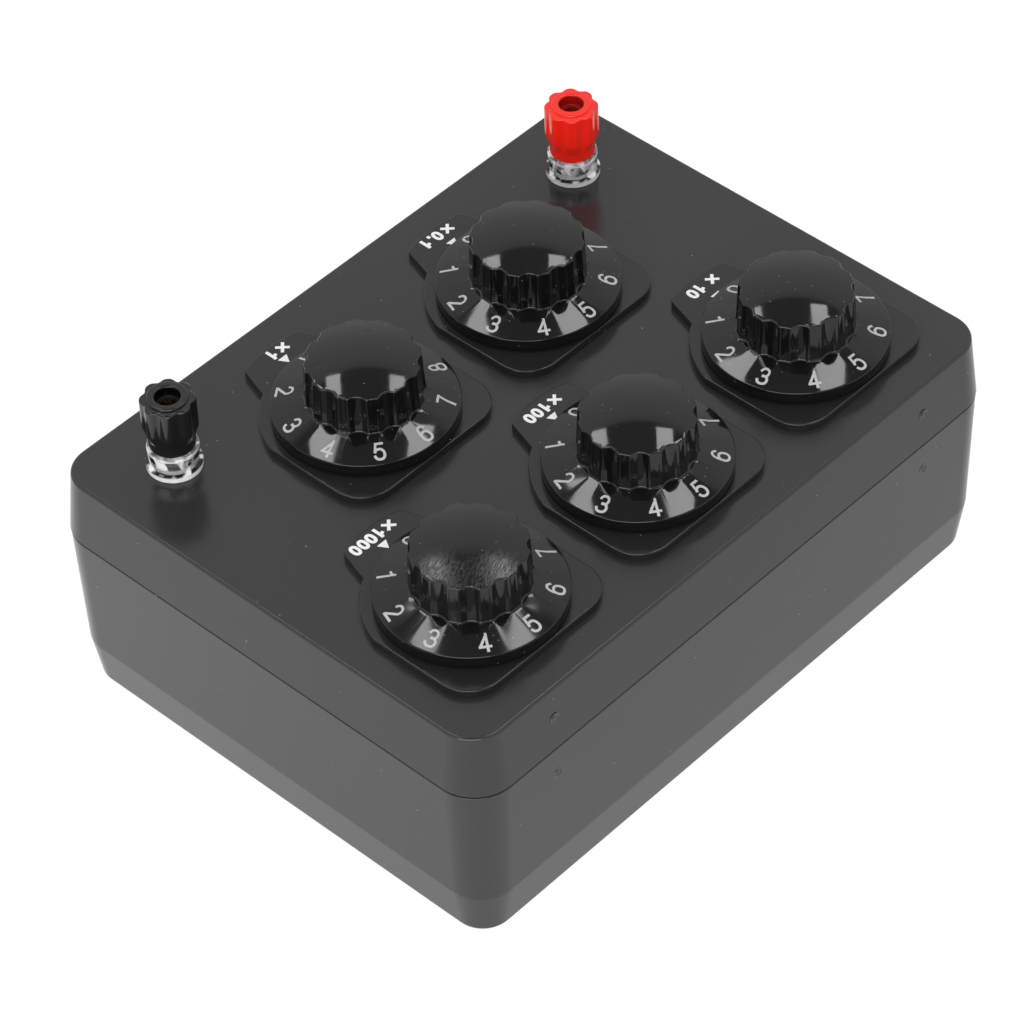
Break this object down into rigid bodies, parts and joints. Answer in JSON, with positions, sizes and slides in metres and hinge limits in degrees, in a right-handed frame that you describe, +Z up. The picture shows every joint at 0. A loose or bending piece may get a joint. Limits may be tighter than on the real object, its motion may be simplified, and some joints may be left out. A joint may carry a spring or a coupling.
{
  "type": "decade resistance box",
  "caption": "Low moulded bench box with rotary decade dials on its top and a red and a black binding post, for setting a resistance in steps.",
  "frame": {"origin": "centre of the underside of the base, on the surface that the box stands on", "axes": "+Z up; +X along the long side, towards the black post; -Y is the side that the labels face"},
  "size_m": [0.1734, 0.1314, 0.0839],
  "materials": {
    "case_black": "fine satin moulded ABS, dark grey black",
    "plate_black": "smooth semi-gloss black plate with light printed marks",
    "knob_black": "polished black thermoset",
    "cap_red": "glossy red moulding",
    "cap_black": "glossy black moulding",
    "clear_plastic": "clear moulded acrylic",
    "board_brown": "brown laminated board with plated studs",
    "winding_green": "varnished resistance wire on cards",
    "washer_grey": "dark fibre",
    "link_yellow": "varnished sleeving over stiff copper wire",
    "brass": "turned, bright",
    "steel": "nickel plated, bright"
  },
  "bodies": {
    "root": {"base": "case_black", "lid": "case_black", "case_screw_1": "steel", "case_screw_2": "steel", "case_screw_3": "steel", "case_screw_4": "steel", "index_plate_tenths": "plate_black", "plate_nut_tenths": "brass", "contact_deck_tenths": "board_brown", "resistor_chain_tenths": "winding_green", "index_plate_units": "plate_black", "plate_nut_units": "brass", "contact_deck_units": "board_brown", "resistor_chain_units": "winding_green", "index_plate_tens": "plate_black", "plate_nut_tens": "brass", "contact_deck_tens": "board_brown", "resistor_chain_tens": "winding_green", "index_plate_hundreds": "plate_black", "plate_nut_hundreds": "brass", "contact_deck_hundreds": "board_brown", "resistor_chain_hundreds": "winding_green", "index_plate_thousands": "plate_black", "plate_nut_thousands": "brass", "contact_deck_thousands": "board_brown", "resistor_chain_thousands": "winding_green", "clear_collar_red": "clear_plastic", "post_stud_red": "steel", "insulating_washer_red": "washer_grey", "post_nut_red": "steel", "clear_collar_black": "clear_plastic", "post_stud_black": "steel", "insulating_washer_black": "washer_grey", "post_nut_black": "steel", "link_wire_1": "link_yellow", "link_wire_2": "link_yellow", "link_wire_3": "link_yellow", "link_wire_4": "link_yellow", "link_wire_5": "link_yellow", "link_wire_6": "link_yellow"},
    "dial_tenths": {"dial_knob_tenths": "knob_black", "spindle_tenths": "steel", "wiper_tenths": "brass"},
    "dial_units": {"dial_knob_units": "knob_black", "spindle_units": "steel", "wiper_units": "brass"},
    "dial_tens": {"dial_knob_tens": "knob_black", "spindle_tens": "steel", "wiper_tens": "brass"},
    "dial_hundreds": {"dial_knob_hundreds": "knob_black", "spindle_hundreds": "steel", "wiper_hundreds": "brass"},
    "dial_thousands": {"dial_knob_thousands": "knob_black", "spindle_thousands": "steel", "wiper_thousands": "brass"},
    "insert_red": {"cap_insert_red": "brass"},
    "cap_red": {"post_cap_red": "cap_red"},
    "insert_black": {"cap_insert_black": "brass"},
    "cap_black": {"post_cap_black": "cap_black"}
  },
  "joints": [
    {"name": "dial_turn_tenths", "type": "hinge", "parent": "root", "child": "dial_tenths", "pos_m": [-0.0268, -0.0237, 0.0657], "axis": [0, 0, 1], "continuous": true},
    {"name": "dial_turn_units", "type": "hinge", "parent": "root", "child": "dial_units", "pos_m": [0.0268, -0.0237, 0.0657], "axis": [0, 0, 1], "continuous": true},
    {"name": "dial_turn_tens", "type": "hinge", "parent": "root", "child": "dial_tens", "pos_m": [-0.0536, 0.0338, 0.0657], "axis": [0, 0, 1], "continuous": true},
    {"name": "dial_turn_hundreds", "type": "hinge", "parent": "root", "child": "dial_hundreds", "pos_m": [0, 0.0338, 0.0657], "axis": [0, 0, 1], "continuous": true},
    {"name": "dial_turn_thousands", "type": "hinge", "parent": "root", "child": "dial_thousands", "pos_m": [0.0536, 0.0338, 0.0657], "axis": [0, 0, 1], "continuous": true},
    {"name": "cap_lift_red", "type": "slide", "parent": "root", "child": "insert_red", "axis": [0, 0, 1], "range_m": [0, 0.0042]},
    {"name": "cap_spin_red", "type": "hinge", "parent": "insert_red", "child": "cap_red", "pos_m": [-0.0657, -0.0454, 0.0698], "axis": [0, 0, 1], "range_deg": [0, 2160]},
    {"name": "cap_lift_black", "type": "slide", "parent": "root", "child": "insert_black", "axis": [0, 0, 1], "range_m": [0, 0.0042]},
    {"name": "cap_spin_black", "type": "hinge", "parent": "insert_black", "child": "cap_black", "pos_m": [0.0657, -0.0454, 0.0698], "axis": [0, 0, 1], "range_deg": [0, 2160]}
  ],
  "couplings": [
    {"joint": "cap_spin_red", "follows": "cap_lift_red", "rad_per_m": 8976},
    {"joint": "cap_spin_black", "follows": "cap_lift_black", "rad_per_m": 8976}
  ]
}
